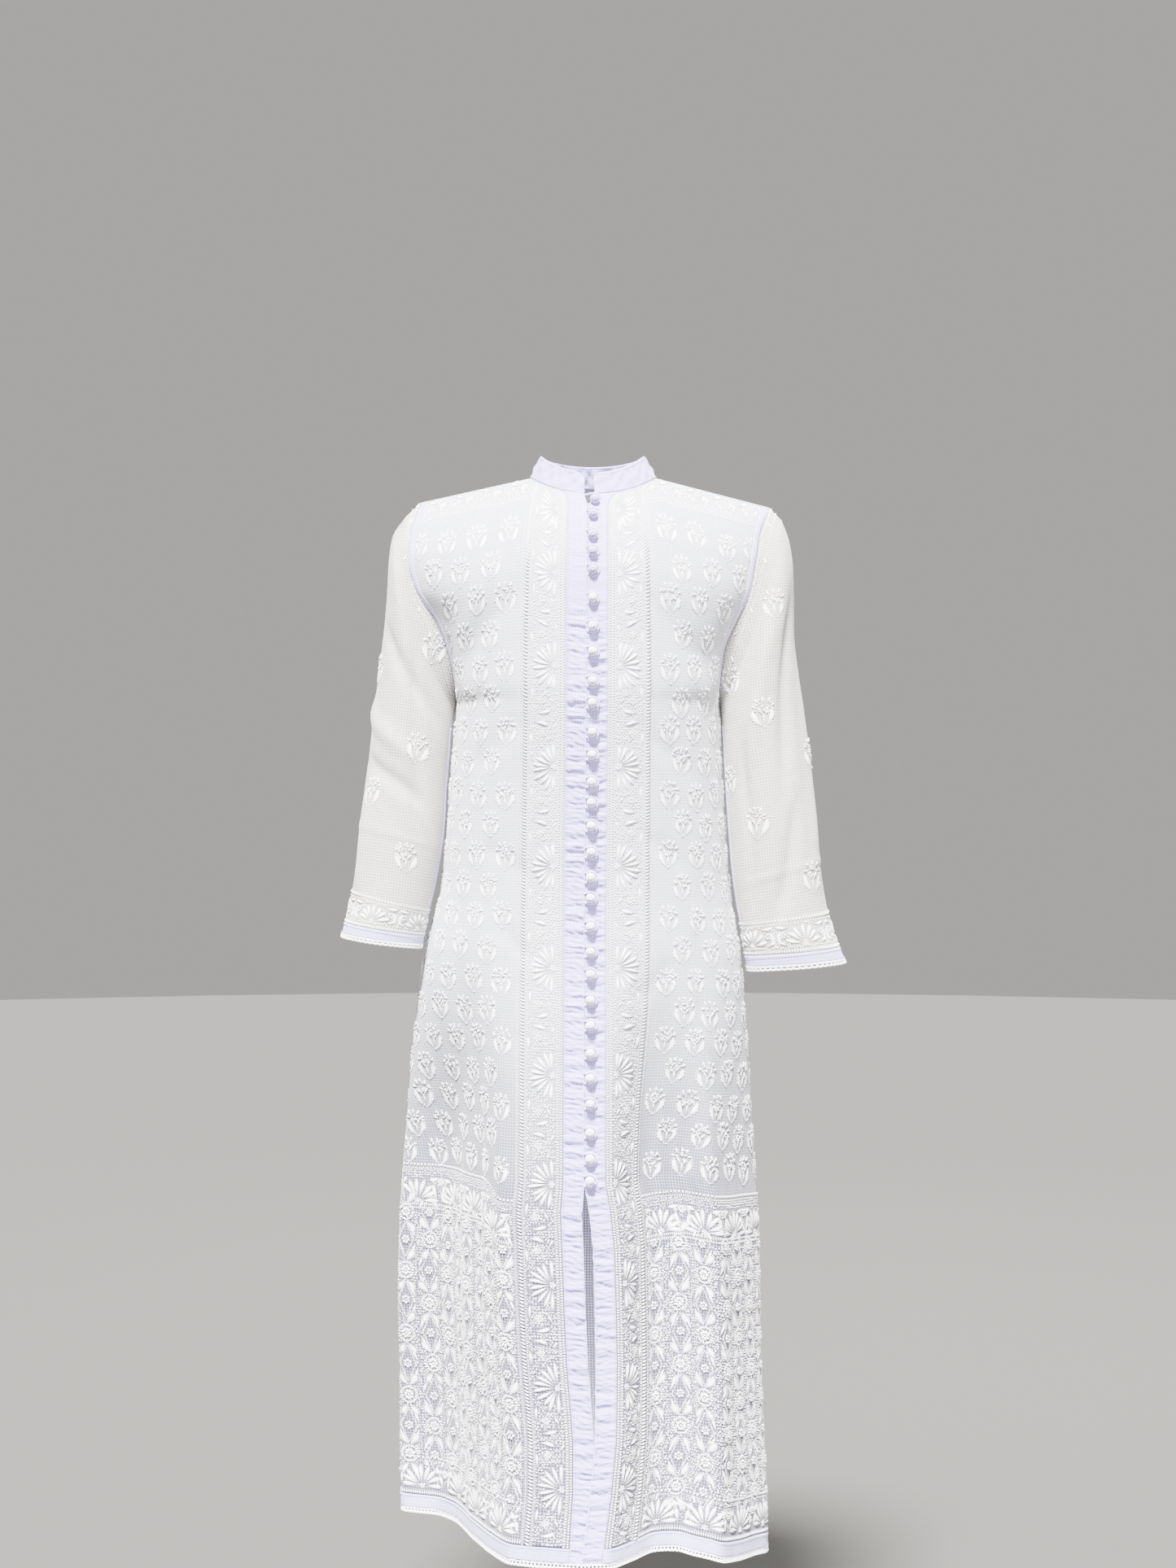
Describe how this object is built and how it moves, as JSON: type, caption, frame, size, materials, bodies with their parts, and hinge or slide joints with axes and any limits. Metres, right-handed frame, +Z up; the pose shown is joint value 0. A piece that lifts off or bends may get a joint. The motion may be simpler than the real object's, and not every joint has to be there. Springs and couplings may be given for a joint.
{
  "type": "chikankari kurta",
  "caption": "Long front-opening kurta of sheer check cotton with white chikankari embroidery, plain lilac bands, stand collar, thread buttons and lace edging, in its worn hollow form.",
  "frame": {"origin": "middle of the neck at the height where the shoulder seams meet the collar, where the shoulders carry the garment", "axes": "+Z up, -Y out of the front, +X towards the wearer's left"},
  "size_m": [0.5353, 0.309, 1.1605],
  "materials": {
    "white_check_cotton": "sheer woven check cotton, matt, with white thread work",
    "lilac_cotton": "plain woven pale lilac cotton, matt",
    "cotton_lace": "white cotton crochet lace",
    "embroidery_thread": "white cotton thread, wound"
  },
  "bodies": {
    "root": {"back": "white_check_cotton", "front_right": "white_check_cotton", "front_left": "white_check_cotton", "sleeve_right": "white_check_cotton", "sleeve_left": "white_check_cotton", "placket_right": "lilac_cotton", "placket_left": "lilac_cotton", "collar": "lilac_cotton", "hem_band_front_right": "lilac_cotton", "hem_band_front_left": "lilac_cotton", "hem_band_back": "lilac_cotton", "cuff_band_right": "lilac_cotton", "cuff_band_left": "lilac_cotton", "button_loops": "lilac_cotton", "hem_lace_front_right": "cotton_lace", "hem_lace_front_left": "cotton_lace", "hem_lace_back": "cotton_lace", "cuff_lace_right": "cotton_lace", "cuff_lace_left": "cotton_lace", "button_01": "embroidery_thread", "button_02": "embroidery_thread", "button_03": "embroidery_thread", "button_04": "embroidery_thread", "button_05": "embroidery_thread", "button_06": "embroidery_thread", "button_07": "embroidery_thread", "button_08": "embroidery_thread", "button_09": "embroidery_thread", "button_10": "embroidery_thread", "button_11": "embroidery_thread", "button_12": "embroidery_thread", "button_13": "embroidery_thread", "button_14": "embroidery_thread", "button_15": "embroidery_thread", "button_16": "embroidery_thread", "button_17": "embroidery_thread", "button_18": "embroidery_thread", "button_19": "embroidery_thread", "button_20": "embroidery_thread", "button_21": "embroidery_thread", "button_22": "embroidery_thread", "button_23": "embroidery_thread", "button_24": "embroidery_thread", "button_25": "embroidery_thread", "button_26": "embroidery_thread", "button_27": "embroidery_thread", "button_28": "embroidery_thread", "button_29": "embroidery_thread"}
  },
  "joints": []
}
